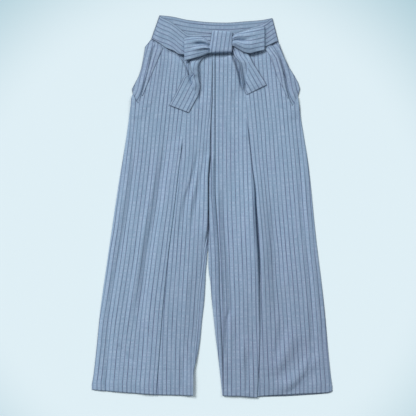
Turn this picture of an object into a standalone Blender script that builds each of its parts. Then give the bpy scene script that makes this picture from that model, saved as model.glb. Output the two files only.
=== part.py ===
"""Hakama trousers of striped cotton, laid flat and face up, tied with their own belt in a bow.

Each piece that is cut and sewn is one closed wall of cloth. Its middle surface is a grid whose
rows come from a short table of widths along the garment, and a Solidify modifier gives it the
thickness of a pressed layer. Millimetres throughout, turned into metres when a mesh is made.
+X is the wearer's left, +Y runs from the hems to the waist, +Z is up, off the surface below.
"""
from collections import namedtuple
from math import cos, pi, radians, sin

import bmesh
import bpy

for old in list(bpy.data.objects):
    bpy.data.objects.remove(old, do_unlink=True)

MM = 0.001
CLOTH = 1.2            # one pressed layer with its turned seam allowance
GAP = 0.3              # air between two layers
LAYER = CLOTH + GAP    # from the middle of one layer to the middle of the next

# Which layer of the pile each piece lies in, counted up from the surface.
BACK, FRONT, FRONT_LIFTED, BELT, TAIL, LOOP = range(6)

# Driving sizes of the fronts.
EDGE_STEP = 8.0        # last column of a front, in from its outer edge
LIFTED_STRIP = 26.0    # width of a front that rides up over the side flap
LIFT_END = 44.0        # where that front is down again
PLEAT_RADIUS = LAYER / 2
PLEAT_STEPS = 4        # facets of each half turn
PLEAT_SPREAD = 0.7     # spacing of the pleat's columns where it lies open
PLEAT_CLEAR = 3.0      # top layer stays up this far past the hidden turn
PLEAT_RAMP = 12.0      # and comes down over this length
SEAM = 0.35            # plan gap at a seam between two pieces of the same layer

# Driving sizes of the bow.
LOOP_HOLLOW = 2.4      # air inside a bow loop
LOOP_RADIUS = (LOOP_HOLLOW + CLOTH) / 2
LOOP_STEPS = 6

# Hem and waist lines, x and y.
Line = namedtuple("Line", "x y")
RIGHT_HEM = [Line(-312.1, -475.5), Line(-253.9, -482.0), Line(-197.7, -487.2),
             Line(-124.9, -490.4), Line(-46.4, -491.4)]
LEFT_HEM = [Line(27.2, -491.1), Line(75.3, -496.6), Line(116.0, -497.1), Line(118.5, -493.3),
            Line(185.8, -489.0), Line(232.8, -486.5), Line(301.5, -483.0), Line(312.1, -479.4)]
LEFT_BACK_HEM = [Line(27.2, -490.0), Line(75.3, -495.0), Line(116.9, -495.2),
                 Line(185.8, -492.4), Line(232.8, -489.8), Line(301.5, -484.6),
                 Line(312.1, -480.0)]
RIGHT_WAIST = [Line(-139.0, 423.5), Line(-121.0, 419.0), Line(-103.0, 412.0),
               Line(-82.0, 405.0), Line(0.0, 411.0)]
LEFT_WAIST = [Line(9.0, 411.0), Line(52.0, 411.0), Line(112.0, 412.0), Line(127.0, 417.0),
              Line(145.0, 421.0)]
BACK_WAIST = [Line(-158.2, 435.8), Line(-110.0, 428.0), Line(0.0, 417.0), Line(110.0, 421.0),
              Line(172.5, 429.0)]

# Outer edge of each front: the slanted side opening, round the foot of it, then the side seam.
# A row keeps its own height up to its last column, whose point has an edge height of its own.
Edge = namedtuple("Edge", "height x edge_height")
RIGHT_OPENING = [Edge(408.0, -147.0, 429.5), Edge(385.0, -158.0, 385.0),
                 Edge(345.0, -167.8, 345.0), Edge(308.0, -176.9, 308.0),
                 Edge(284.0, -184.0, 284.0), Edge(268.0, -192.5, 265.7),
                 Edge(254.0, -205.3, 294.0), Edge(246.0, -210.0, 281.0),
                 Edge(236.0, -211.5, 262.0), Edge(222.0, -215.5, 232.0)]
LEFT_OPENING = [Edge(411.0, 153.0, 418.5), Edge(385.0, 174.0, 385.0),
                Edge(345.0, 185.8, 345.0), Edge(308.0, 191.8, 308.0),
                Edge(285.0, 198.0, 285.0), Edge(262.0, 209.9, 258.4),
                Edge(248.0, 222.5, 288.0), Edge(240.0, 224.2, 275.0),
                Edge(230.0, 227.3, 256.0), Edge(216.0, 229.8, 228.0)]
LIFT_FLOOR = 229.0     # the fronts ride on the flaps above this height

# Edges that run down the legs, as x at a height.
Down = namedtuple("Down", "height x")
RIGHT_SIDE = [Down(222.0, -216.5), Down(173.2, -223.5), Down(48.4, -243.8),
              Down(-138.8, -271.3), Down(-263.6, -289.0), Down(-388.4, -302.0),
              Down(-475.5, -312.1)]
LEFT_SIDE = [Down(216.0, 232.5), Down(173.2, 239.6), Down(110.8, 249.5), Down(-76.4, 269.0),
             Down(-263.6, 291.3), Down(-388.4, 302.5), Down(-479.4, 312.1)]
RIGHT_INSEAM = [Down(411.0, 0.4), Down(284.0, -0.4), Down(210.0, -4.0), Down(129.0, -6.5),
                Down(69.0, -8.5), Down(-45.0, -11.0), Down(-107.6, -20.9), Down(-170.0, -29.0),
                Down(-232.4, -35.6), Down(-326.0, -41.8), Down(-388.4, -46.6),
                Down(-451.0, -45.4), Down(-491.4, -46.4)]
RIGHT_INNER_LEG = [Down(-45.0, -10.8), Down(-95.0, -12.1), Down(-201.0, -14.7),
                   Down(-264.0, -20.4), Down(-326.0, -27.7), Down(-388.4, -36.0),
                   Down(-414.0, -40.6)]
GUSSET_HEAD = -60.0    # the right gusset shows between these heights
GUSSET_FOOT = -412.0
GUSSET_SEAM = [Down(411.0, 8.7), Down(40.0, 8.8), Down(1.6, 11.1), Down(-66.0, 15.5),
               Down(-138.8, 19.3), Down(-232.0, 20.9), Down(-326.0, 25.4),
               Down(-388.4, 27.9), Down(-491.0, 29.4)]
GUSSET_EDGE = [Down(411.0, 0.9), Down(284.0, 0.3), Down(210.0, -2.5), Down(129.0, -5.6),
               Down(69.0, -7.2), Down(-170.0, -9.8), Down(-201.2, -4.8), Down(-264.0, 0.9),
               Down(-326.0, 8.2), Down(-388.4, 16.0), Down(-451.0, 23.0), Down(-491.1, 27.2)]

# Knife pleats, both with their folded edge towards +X. Turn is how far the cloth has turned
# over, 180 degrees when it lies flat under itself, and run is how far it then goes back.
Pleat = namedtuple("Pleat", "height x turn run")
RIGHT_PLEAT = [Pleat(411.0, -60.0, 0, 2.0), Pleat(222.0, -71.5, 0, 2.0),
               Pleat(211.0, -72.5, 45, 2.0), Pleat(199.0, -74.0, 90, 1.5),
               Pleat(186.0, -75.5, 135, 1.0), Pleat(173.2, -77.0, 180, 4.0),
               Pleat(110.8, -85.0, 180, 12.0), Pleat(-14.0, -99.5, 180, 22.0),
               Pleat(-138.8, -115.5, 180, 24.0), Pleat(-263.6, -128.0, 180, 24.0),
               Pleat(-388.4, -137.5, 180, 24.0), Pleat(-486.0, -145.5, 180, 22.0)]
LEFT_PLEAT = [Pleat(411.0, 83.0, 0, 2.0), Pleat(222.0, 90.8, 0, 2.0),
              Pleat(211.0, 91.8, 45, 2.0), Pleat(199.0, 93.0, 90, 1.5),
              Pleat(186.0, 94.5, 135, 1.0), Pleat(173.2, 95.8, 180, 4.0),
              Pleat(110.8, 102.7, 180, 16.0), Pleat(48.4, 111.5, 180, 26.0),
              Pleat(-76.4, 118.9, 180, 28.0), Pleat(-201.2, 126.0, 180, 28.0),
              Pleat(-326.0, 121.0, 180, 26.0), Pleat(-497.0, 117.0, 180, 24.0)]
PLEAT_START_ROWS = [211.0, 199.0, 186.0, 173.2]
ROW_PITCH = 31.2
LAST_ROW = -450.8
HEM_ROW = -491.0       # nominal height of the hem row, where the edge tables are read

# Outer edge of the backs and of the flaps inside the side openings.
RIGHT_BACK_SIDE = [Down(434.0, -158.8), Down(415.7, -172.8), Down(385.0, -177.8),
                   Down(358.8, -183.2), Down(339.0, -189.7), Down(305.2, -207.3),
                   Down(294.0, -205.0), Down(281.0, -209.0), Down(262.0, -210.6),
                   Down(222.0, -215.7)]
LEFT_BACK_SIDE = [Down(428.0, 172.0), Down(411.8, 176.9), Down(387.1, 186.5),
                  Down(360.4, 199.8), Down(343.2, 211.2), Down(322.4, 222.7),
                  Down(306.0, 227.6), Down(290.0, 222.5), Down(276.0, 223.2),
                  Down(256.0, 226.4), Down(216.0, 231.7)]
Cross = namedtuple("Cross", "x1 y1 x2 y2")
RIGHT_FLAP = [Cross(-158.9, 433.0, -137.0, 421.5), Cross(-173.6, 415.7, -140.0, 405.0),
              Cross(-178.5, 385.0, -147.0, 383.0), Cross(-184.0, 358.8, -153.0, 355.0),
              Cross(-190.5, 339.0, -158.0, 336.0), Cross(-208.1, 305.2, -165.0, 300.0),
              Cross(-206.6, 296.0, -171.0, 284.0), Cross(-204.5, 286.0, -176.0, 274.0),
              Cross(-200.0, 270.0, -181.0, 266.0), Cross(-197.0, 256.0, -186.0, 258.0)]
LEFT_FLAP = [Cross(141.0, 413.0, 173.3, 426.0), Cross(150.0, 400.0, 177.7, 411.8),
             Cross(161.0, 380.0, 187.3, 387.1), Cross(170.0, 355.0, 200.6, 360.4),
             Cross(174.0, 335.0, 212.0, 343.2), Cross(178.0, 314.0, 223.5, 322.4),
             Cross(182.0, 294.0, 228.4, 306.0), Cross(188.0, 278.0, 225.6, 296.0),
             Cross(194.0, 266.0, 222.0, 284.0), Cross(200.0, 258.0, 219.0, 268.0),
             Cross(204.0, 251.0, 214.0, 252.0)]
RIGHT_BAND = [Cross(-146.6, 426.5, -127.0, 413.0), Cross(-149.2, 412.0, -130.4, 403.0),
              Cross(-157.2, 385.0, -139.0, 384.0), Cross(-167.0, 345.0, -154.5, 348.0),
              Cross(-176.1, 308.0, -171.0, 309.0), Cross(-182.0, 288.0, -179.5, 288.0)]
LEFT_BAND = [Cross(136.0, 409.5, 153.0, 416.0), Cross(144.0, 401.0, 161.0, 403.5),
             Cross(151.5, 385.0, 173.2, 385.0), Cross(159.5, 362.0, 179.8, 362.0),
             Cross(166.5, 341.0, 185.2, 341.0), Cross(177.0, 320.0, 188.5, 320.0),
             Cross(188.5, 298.0, 193.5, 297.0), Cross(196.0, 281.5, 198.4, 281.0)]

# The belt, its upper edge first, and the layer that each station lies in.
Station = namedtuple("Station", "x1 y1 x2 y2 layer")
BACK_BELT = [Station(-136.6, 497.1, -158.2, 435.8, BACK), Station(-109.3, 494.5, -125.0, 430.4, BACK),
             Station(-57.3, 484.3, -60.0, 423.0, BACK), Station(2.5, 478.7, 0.0, 417.0, BACK),
             Station(36.3, 478.0, 36.0, 418.3, BACK), Station(90.0, 481.5, 85.0, 420.1, BACK),
             Station(127.3, 484.6, 120.0, 422.3, BACK), Station(156.7, 489.9, 172.5, 429.0, BACK)]
RIGHT_BELT = [Station(-136.0, 496.3, -157.6, 435.6, FRONT), Station(-131.0, 491.8, -151.8, 432.9, FRONT),
              Station(-119.0, 485.5, -137.5, 424.2, BELT), Station(-109.6, 480.5, -117.9, 410.8, BELT),
              Station(-94.8, 470.6, -100.0, 402.6, BELT), Station(-74.8, 454.7, -81.5, 396.0, BELT),
              Station(-60.0, 446.4, -60.0, 396.5, BELT), Station(-20.0, 447.0, -20.0, 399.5, BELT),
              Station(21.8, 448.0, 21.8, 402.0, BELT)]
LEFT_BELT = [Station(22.2, 448.0, 22.2, 402.0, BELT), Station(52.0, 449.0, 52.0, 401.0, BELT),
             Station(80.0, 457.0, 80.0, 401.0, BELT), Station(110.0, 466.0, 111.7, 402.0, BELT),
             Station(129.9, 472.0, 141.6, 416.0, BELT), Station(141.0, 478.5, 153.0, 421.3, BELT),
             Station(151.0, 486.8, 166.5, 427.2, FRONT), Station(156.3, 489.6, 172.0, 429.2, FRONT)]
RIGHT_TAIL = [Station(-30.0, 404.0, -4.0, 404.0, TAIL), Station(-48.0, 393.0, -11.0, 395.0, TAIL),
              Station(-58.0, 374.0, -28.0, 375.0, 2.6), Station(-52.5, 355.0, -33.4, 358.5, FRONT_LIFTED),
              Station(-53.0, 344.0, -33.6, 345.0, FRONT_LIFTED),
              Station(-71.4, 337.5, -33.2, 330.0, FRONT_LIFTED),
              Station(-80.0, 322.0, -30.5, 312.0, FRONT_LIFTED),
              Station(-90.0, 302.0, -34.0, 294.0, FRONT_LIFTED),
              Station(-100.0, 283.0, -46.0, 270.0, FRONT_LIFTED),
              Station(-111.4, 263.1, -60.5, 243.1, FRONT_LIFTED)]
LEFT_TAIL = [Station(48.0, 416.0, 84.0, 414.0, TAIL), Station(54.0, 403.0, 88.0, 401.0, TAIL),
             Station(57.6, 391.0, 96.5, 391.0, 3.4), Station(70.9, 370.0, 107.3, 370.0, FRONT_LIFTED),
             Station(72.9, 349.0, 118.7, 352.8, FRONT_LIFTED),
             Station(78.7, 320.3, 130.0, 335.0, FRONT_LIFTED),
             Station(84.4, 299.5, 137.0, 324.0, FRONT_LIFTED),
             Station(90.1, 289.9, 141.6, 315.6, FRONT_LIFTED)]

# Bow loops, from the knot outwards, and the knot's own corners.
Reach = namedtuple("Reach", "x top bottom")
RIGHT_LOOP = [Reach(8.0, 441.0, 403.0), Reach(-12.0, 442.0, 401.5), Reach(-30.0, 441.0, 392.0),
              Reach(-50.0, 439.5, 385.5), Reach(-69.2, 437.6, 379.5)]
LEFT_LOOP = [Reach(36.0, 445.0, 415.0), Reach(52.9, 447.0, 415.0), Reach(69.3, 451.5, 410.5),
             Reach(87.2, 456.0, 402.0), Reach(98.7, 458.5, 400.0), Reach(111.7, 461.0, 403.3),
             Reach(133.4, 466.4, 407.4)]
Turn = namedtuple("Turn", "inset drop")
KNOT_EDGE = [Turn(2.6, 3.6), Turn(1.0, 3.0), Turn(0.6, 2.0), Turn(1.4, 0.7), Turn(4.0, 0.0)]
KNOT = [Cross(-8.0, 396.8, 0.0, 456.0), Cross(12.0, 397.4, 16.0, 455.4),
        Cross(32.0, 398.0, 34.0, 454.2), Cross(51.9, 398.6, 51.9, 452.2)]

# Cloth colours, linear.
BLUE = (0.235, 0.322, 0.480)
BLUE_SHADE = (0.195, 0.268, 0.415)
BLUE_LIGHT = (0.265, 0.355, 0.515)


def middle(layer):
    """Height of the middle of a layer of the pile."""
    return CLOTH / 2 + layer * LAYER


def mix(a, b, t):
    return a + (b - a) * t


def read(table, at, field, key="height"):
    """Value of one column of a table at a place between its rows, in a straight line."""
    rows = sorted(table, key=lambda row: getattr(row, key))
    if at <= getattr(rows[0], key):
        return getattr(rows[0], field)
    for low, high in zip(rows, rows[1:]):
        start = getattr(low, key)
        end = getattr(high, key)
        if at <= end:
            return mix(getattr(low, field), getattr(high, field), (at - start) / (end - start))
    return getattr(rows[-1], field)


def line_y(line, x):
    return read(line, x, "y", key="x")


def material(name, colour):
    cloth = bpy.data.materials.new(name)
    cloth.use_nodes = True
    shader = cloth.node_tree.nodes["Principled BSDF"]
    shader.inputs["Base Color"].default_value = (*colour, 1.0)
    shader.inputs["Roughness"].default_value = 0.86
    shader.inputs["Metallic"].default_value = 0.0
    cloth.diffuse_color = (*colour, 1.0)
    return cloth


def cloth_piece(name, rows, colour):
    """A piece of cloth whose middle surface passes through rows of points of equal number."""
    row_count = len(rows)
    column_count = len(rows[0])
    shape = bmesh.new()
    bmesh.ops.create_grid(shape, x_segments=column_count - 1, y_segments=row_count - 1, size=1.0)
    for vertex in shape.verts:
        column = round((vertex.co.x + 1.0) / 2.0 * (column_count - 1))
        row = round((1.0 - vertex.co.y) / 2.0 * (row_count - 1))
        vertex.co = [value * MM for value in rows[row][column]]
    mesh = bpy.data.meshes.new(name)
    shape.to_mesh(mesh)
    shape.free()
    mesh.materials.append(material(name, colour))
    mesh.shade_smooth()
    mesh.set_sharp_from_angle(angle=radians(40.0))
    piece = bpy.data.objects.new(name, mesh)
    bpy.context.collection.objects.link(piece)
    wall = piece.modifiers.new("thickness", "SOLIDIFY")
    wall.thickness = CLOTH * MM
    wall.offset = 0.0
    wall.use_even_offset = True
    return piece


def flat_strip(name, stations, columns, colour):
    """A strip between two edges, each station at the height of its own layer."""
    rows = []
    for place in stations:
        height = middle(place.layer)
        rows.append([(mix(place.x1, place.x2, k / columns), mix(place.y1, place.y2, k / columns), height)
                     for k in range(columns + 1)])
    return cloth_piece(name, rows, colour)


def on_layer(crosses, layer):
    return [Station(*cross, layer) for cross in crosses]


def leg_rows(opening):
    """Heights of a front's rows: the side opening, the start of the pleat, then even steps."""
    heights = [edge.height for edge in opening] + PLEAT_START_ROWS
    height = PLEAT_START_ROWS[-1] - ROW_PITCH
    while height > LAST_ROW - 1.0:
        heights.append(height)
        height -= ROW_PITCH
    return heights + [HEM_ROW]


def pleat_section(pleat):
    """Middle line of a knife pleat, from its visible fold to the run that goes on below."""
    low = middle(FRONT)
    count = 2 * PLEAT_STEPS + 2
    if pleat.turn < 1.0:
        return [(pleat.x + PLEAT_SPREAD * k, low) for k in range(count)]
    turn = radians(pleat.turn)
    rise = 2 * PLEAT_RADIUS * (1 - cos(turn)) + pleat.run * sin(turn)
    x = pleat.x - PLEAT_RADIUS - CLOTH / 2
    z = low + rise
    points = []
    for k in range(PLEAT_STEPS + 1):
        angle = turn * k / PLEAT_STEPS
        points.append((x + PLEAT_RADIUS * sin(angle), z - PLEAT_RADIUS + PLEAT_RADIUS * cos(angle)))
    x = points[-1][0] + pleat.run * cos(turn) + PLEAT_RADIUS * sin(turn)
    z = points[-1][1] - pleat.run * sin(turn) + PLEAT_RADIUS * cos(turn)
    for k in range(PLEAT_STEPS + 1):
        angle = turn * (1 - k / PLEAT_STEPS)
        points.append((x - PLEAT_RADIUS * sin(angle), z - PLEAT_RADIUS * cos(angle)))
    return points


def pleat_at(table, height):
    return Pleat(height, *(read(table, height, field) for field in ("x", "turn", "run")))


def front_leg(name, opening, side, inseam, pleats, waist, hem, outer_is_left, colour):
    """A front panel: outer edge, one knife pleat, and inner edge, from the waist to the hem."""
    rows = []
    outward = -1.0 if outer_is_left else 1.0
    for number, height in enumerate(leg_rows(opening)):
        at_waist = number == 0
        at_hem = height == HEM_ROW
        if number < len(opening):
            outer_x = opening[number].x
            outer_y = opening[number].edge_height
        else:
            outer_x = read(side, height, "x")
            outer_y = height
        inner_x = read(inseam, height, "x")
        low = middle(FRONT)
        lifted = low + LAYER if height > LIFT_FLOOR else low
        fold = pleat_section(pleat_at(pleats, height))
        ramp_top = min(x for x, z in fold) - CLOTH / 2 - PLEAT_CLEAR
        ramp = [(ramp_top - PLEAT_RAMP, low), (ramp_top, fold[0][1])]
        outer = [(outer_x, lifted), (outer_x - outward * EDGE_STEP, lifted),
                 (outer_x - outward * LIFTED_STRIP, lifted), (outer_x - outward * LIFT_END, low)]
        if outer_is_left:
            section = outer + ramp + fold + [(mix(fold[-1][0], inner_x, 0.5), low), (inner_x, low)]
        else:
            section = [(inner_x, low), (mix(inner_x, ramp[0][0], 0.5), low)] + ramp + fold
            section += reversed(outer)
        row = []
        for x, z in section:
            y = height
            if at_hem:
                y = line_y(hem, x)
            elif x == outer_x:
                y = outer_y
            elif at_waist:
                y = line_y(waist, x)
            row.append((x, y, middle(FRONT_LIFTED) if at_waist else z))
        rows.append(row)
    return cloth_piece(name, rows, colour)


def back_leg(name, sides, side, inner, hem, hem_corner, colour):
    """A back panel: flat on the surface below, its waist along the back belt."""
    heights = [row.height for row in sides] + [PLEAT_START_ROWS[-1]]
    while heights[-1] > LAST_ROW + 1.0:
        heights.append(heights[-1] - ROW_PITCH)
    rows = []
    inset = 0.8 if side is LEFT_SIDE else -0.8
    for number, height in enumerate(heights + [HEM_ROW]):
        if number < len(sides):
            outer_x = sides[number].x
        elif height == HEM_ROW:
            outer_x = hem_corner
        else:
            outer_x = read(side, height, "x") - inset
        inner_x = inner(height)
        row = []
        for k in range(4):
            x = mix(outer_x, inner_x, k / 3)
            y = height
            if number == 0:
                y = line_y(BACK_WAIST, x) - 1.0
            elif height == HEM_ROW:
                y = line_y(hem, x) + (1.0 if hem is RIGHT_HEM else 0.0)
            row.append((x, y, middle(BACK)))
        rows.append(row)
    return cloth_piece(name, rows, colour)


def right_back_inner(height):
    """Centre back seam above the crotch, inner leg below it."""
    table = RIGHT_INNER_LEG if GUSSET_FOOT < height < RIGHT_INNER_LEG[0].height else RIGHT_INSEAM
    return read(table, height, "x")


def left_back_inner(height):
    return read(GUSSET_EDGE, height, "x") + SEAM


def centre_gusset():
    """Narrow gusset strip from the waist down the left inner leg, sewn to the left front."""
    rows = []
    for height in leg_rows(LEFT_OPENING):
        left = read(GUSSET_EDGE, height, "x")
        right = read(GUSSET_SEAM, height, "x")
        level = middle(FRONT_LIFTED) if height > 400.0 else middle(FRONT)
        rows.append([(left, height, level), (mix(left, right, 0.5), height, level),
                     (right, height, level)])
    return cloth_piece("centre_gusset", rows, BLUE_SHADE)


def right_gusset():
    """The matching strip on the right leg, showing between the front and the inner edge."""
    rows = []
    heights = [height for height in leg_rows(RIGHT_OPENING) if GUSSET_FOOT < height < GUSSET_HEAD]
    for height in heights + [GUSSET_FOOT]:
        rows.append([(read(RIGHT_INSEAM, height, "x") + SEAM, height, middle(FRONT)),
                     (read(RIGHT_INNER_LEG, height, "x"), height, middle(FRONT))])
    return cloth_piece("right_gusset", rows, BLUE_SHADE)


def left_front_inseam():
    """Inner edge of the left front, a seam's width from the gusset at every row."""
    return [Down(row.height, row.x + SEAM) for row in GUSSET_SEAM]


def bow_loop(name, reaches, outward, colour):
    """A flattened loop of belt: out along the bottom, round the end and back on top."""
    below = middle(LOOP)
    above = below + 2 * LOOP_RADIUS
    path = [(reach.x, below, reach) for reach in reaches]
    turn_x = reaches[-1].x
    for k in range(1, LOOP_STEPS):
        angle = pi * k / LOOP_STEPS
        x = turn_x + outward * LOOP_RADIUS * sin(angle)
        path.append((x, (below + above) / 2 - LOOP_RADIUS * cos(angle), reaches[-1]))
    path += [(reach.x, above, reach) for reach in reversed(reaches)]
    rows = [[(x, mix(reach.top, reach.bottom, k / 3), z) for k in range(4)] for x, z, reach in path]
    return cloth_piece(name, rows, colour)


def bow_knot():
    """The band round the middle of the bow: flat on top, rounded down over its two long edges."""
    top = middle(LOOP) + 2 * LOOP_RADIUS + LAYER
    columns = []
    for place in KNOT:
        span = place.y2 - place.y1
        lower = [(turn.inset / span, top - turn.drop) for turn in KNOT_EDGE]
        upper = [(1 - turn.inset / span, top - turn.drop) for turn in reversed(KNOT_EDGE)]
        profile = lower + [(0.35, top), (0.65, top)] + upper
        columns.append([(mix(place.x1, place.x2, t), mix(place.y1, place.y2, t), z) for t, z in profile])
    return cloth_piece("bow_knot", [list(row) for row in zip(*columns)], BLUE_LIGHT)


back_leg("right_back_leg", RIGHT_BACK_SIDE, RIGHT_SIDE, right_back_inner, RIGHT_HEM, -311.3, BLUE_SHADE)
back_leg("left_back_leg", LEFT_BACK_SIDE, LEFT_SIDE, left_back_inner, LEFT_BACK_HEM, 311.3, BLUE_SHADE)
flat_strip("right_side_flap", on_layer(RIGHT_FLAP, FRONT), 2, BLUE_SHADE)
flat_strip("left_side_flap", on_layer(LEFT_FLAP, FRONT), 2, BLUE_SHADE)
front_leg("right_front_leg", RIGHT_OPENING, RIGHT_SIDE, RIGHT_INSEAM, RIGHT_PLEAT,
          RIGHT_WAIST, RIGHT_HEM, True, BLUE)
front_leg("left_front_leg", LEFT_OPENING, LEFT_SIDE, left_front_inseam(), LEFT_PLEAT,
          LEFT_WAIST, LEFT_HEM, False, BLUE)
centre_gusset()
right_gusset()
flat_strip("right_opening_band", on_layer(RIGHT_BAND, BELT), 2, BLUE_LIGHT)
flat_strip("left_opening_band", on_layer(LEFT_BAND, BELT), 2, BLUE_LIGHT)
flat_strip("back_belt", BACK_BELT, 2, BLUE_SHADE)
flat_strip("right_belt_stretch", RIGHT_BELT, 3, BLUE_LIGHT)
flat_strip("left_belt_stretch", LEFT_BELT, 3, BLUE_LIGHT)
flat_strip("right_bow_tail", RIGHT_TAIL, 3, BLUE_LIGHT)
flat_strip("left_bow_tail", LEFT_TAIL, 3, BLUE_LIGHT)
bow_loop("right_bow_loop", RIGHT_LOOP, -1.0, BLUE_LIGHT)
bow_loop("left_bow_loop", LEFT_LOOP, 1.0, BLUE_LIGHT)
bow_knot()
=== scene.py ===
from math import cos, exp, pi, radians, sin, sqrt

import bmesh
import bpy
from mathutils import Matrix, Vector, noise


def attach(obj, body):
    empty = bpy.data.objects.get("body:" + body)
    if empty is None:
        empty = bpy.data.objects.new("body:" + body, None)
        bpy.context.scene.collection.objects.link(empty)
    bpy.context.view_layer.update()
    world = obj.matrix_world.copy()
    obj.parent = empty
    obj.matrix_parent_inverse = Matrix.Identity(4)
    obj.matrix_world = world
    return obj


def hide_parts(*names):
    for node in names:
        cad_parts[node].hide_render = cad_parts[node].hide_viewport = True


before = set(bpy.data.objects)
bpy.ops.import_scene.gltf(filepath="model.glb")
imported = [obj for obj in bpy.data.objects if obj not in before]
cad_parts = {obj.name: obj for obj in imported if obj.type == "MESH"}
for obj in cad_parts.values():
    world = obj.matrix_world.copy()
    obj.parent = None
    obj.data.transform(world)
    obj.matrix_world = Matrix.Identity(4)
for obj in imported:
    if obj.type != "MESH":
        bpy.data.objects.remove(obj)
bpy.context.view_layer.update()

# ---- Backs ----
# The two back legs are single panels of yarn-dyed striped cotton, pressed flat. They lie on the
# surface below and are sewn to the fronts at the side seams and inner legs.
# Sizes are in millimetres from the middle of the garment, +X to the wearer's left, +Y to the waist.
MM = 0.001
WALL = 1               # a pressed layer with its seam allowance
LAYER = 1.5            # from the middle of one layer to the middle of the next
LOWEST = 0.6           # middle of the lowest layer
BACK, FRONT, BELT, LOOP = 0, 1, 3, 5   # layers that lie below each
WAIST = 411            # height of the front waist seam
FOOT = -491            # height of the hems
CROTCH = -45           # height where the legs part
HEM_REACH = 60         # how far up a leg the slant of its hem is felt
EDGE_CELL = 0.7        # width of the narrow cell of the mesh along an edge
STRIPE_PITCH = 10.6

# Edges that run down the garment: height and x.
RIGHT_SIDE = [
    (222, -216.5), (173.2, -223.5), (48.4, -243.8), (-138.8, -271.3), (-263.6, -289), (-388.4, -302),
    (-475.5, -312.1)]
LEFT_SIDE = [
    (216, 232.5), (173.2, 239.6), (110.8, 249.5), (-76.4, 269), (-263.6, 291.3), (-388.4, 302.5),
    (-479.4, 312.1)]
RIGHT_BACK_SIDE = [
    (434, -158.8), (415.7, -172.8), (385, -177.8), (358.8, -183.2), (339, -189.7), (305.2, -207.3),
    (294, -205), (281, -209), (262, -210.6), (222, -215.7)]
LEFT_BACK_SIDE = [
    (428, 172), (411.8, 176.9), (387.1, 186.5), (360.4, 199.8), (343.2, 211.2), (322.4, 222.7),
    (306, 227.6), (290, 222.5), (276, 223.2), (256, 226.4), (216, 231.7)]
RIGHT_INSEAM = [
    (411, 0.4), (284, -0.4), (210, -4), (160, -4.8), (129, -5.2), (108, -6.8), (69, -9.2), (4, -9.7),
    (-45, -11), (-107.6, -20.9), (-170, -29), (-232.4, -35.6), (-326, -41.8), (-388.4, -47.4),
    (-451, -48.4), (-491.4, -48.8)]
RIGHT_INNER_LEG = [
    (-45, -10.8), (-95, -12.3), (-139, -14), (-170, -17), (-191, -17.8), (-243, -20.8), (-295, -26.6),
    (-347, -31.5), (-388.4, -38.6), (-405, -42.5), (-420, -45.9), (-437, -47.8)]
GUSSET_EDGE = [
    (411, 0.9), (284, 0.3), (210, -2.5), (160, -3.8), (129, -4.6), (108, -6.3), (69, -8.7), (4, -9.2),
    (-48, -9), (-76, -8.9), (-139, -9.4), (-170, -8), (-191, -4.6), (-243, -0.4), (-295, 5), (-326, 8.2),
    (-388.4, 16), (-451, 23), (-491.1, 27.2)]
# Lines that run across it: x and y.
BACK_WAIST = [(-158.2, 434.8), (-110, 427), (0, 416), (110, 420), (172.5, 428)]
RIGHT_HEM = [
    (-312.1, -475.5), (-253.9, -480.8), (-197.7, -484.8), (-161, -487.2), (-124.9, -489.2), (-46.4, -490.4)]
LEFT_BACK_HEM = [
    (27.2, -490), (75.3, -490.6), (116.9, -493.6), (185.8, -492.4), (232.8, -489.8), (301.5, -484.6),
    (312.1, -480)]


def mix(a, b, t):
    return a + (b - a) * t


def ease(start, end, value):
    """0 before start, 1 after end, and a soft step between."""
    t = min(max((value - start) / (end - start), 0), 1)
    return t * t * (3 - 2 * t)


def hump(distance, left, right):
    """A soft ridge, 1 on its line, that falls off over its own width on each side."""
    t = distance / (right if distance > 0 else left)
    return exp(-t * t) if t * t < 12 else 0


def follow(table, at, column=1):
    """Value of a column of a table at a place between its rows, with no corner at a row."""
    rows = table if table[0][0] < table[-1][0] else table[::-1]
    if at <= rows[0][0]:
        return rows[0][column]
    if at >= rows[-1][0]:
        return rows[-1][column]
    k = 1
    while rows[k][0] < at:
        k += 1
    slopes = []
    for j in (k - 1, k):
        before = rows[max(j - 1, 0)]
        after = rows[min(j + 1, len(rows) - 1)]
        here = rows[j]
        back = (here[column] - before[column]) / ((here[0] - before[0]) or 1)
        ahead = (after[column] - here[column]) / ((after[0] - here[0]) or 1)
        if before is here or after is here:
            slopes.append(back + ahead)
        else:
            slopes.append(2 * back * ahead / (back + ahead) if back * ahead > 0 else 0)
    gap = rows[k][0] - rows[k - 1][0]
    t = (at - rows[k - 1][0]) / gap
    start = (1 + 2 * t) * rows[k - 1][column] + t * gap * slopes[0]
    end = (3 - 2 * t) * rows[k][column] + (t - 1) * gap * slopes[1]
    return (1 - t) ** 2 * start + t * t * end


def straight(table, at, column=1):
    """Value of a column of a table between its rows, in a straight line, and on past its ends."""
    rows = table if table[0][0] < table[-1][0] else table[::-1]
    k = 1
    while k < len(rows) - 1 and rows[k][0] < at:
        k += 1
    low = rows[k - 1]
    high = rows[k]
    return mix(low[column], high[column], (at - low[0]) / (high[0] - low[0]))


def wander(x, y, across, along, seed):
    """Uneven swell of pressed cotton, drawn out along the garment, from -1 to 1."""
    return noise.noise(Vector((x / across, y / along, seed)))


def bed(x, y):
    """How far the whole pile swells off the surface at a place, most at two corners of the hems."""
    right_corner = 6 * hump(x + 48, 24, 20) * ease(-320, -480, y)
    left_corner = 4 * hump(x - 54, 28, 26) * ease(-455, -495, y)
    return 0.3 + 0.3 * wander(x, y, 70, 160, 3.7) + right_corner + left_corner


def middle(layer):
    """Height of the middle of a layer."""
    return LOWEST + layer * LAYER


def pressed(z, floor, from_edge, width, share=1):
    """Height near an edge that is pressed most of the way down to a floor."""
    return z - 0.8 * share * (z - floor) * hump(from_edge, width, width)


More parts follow.
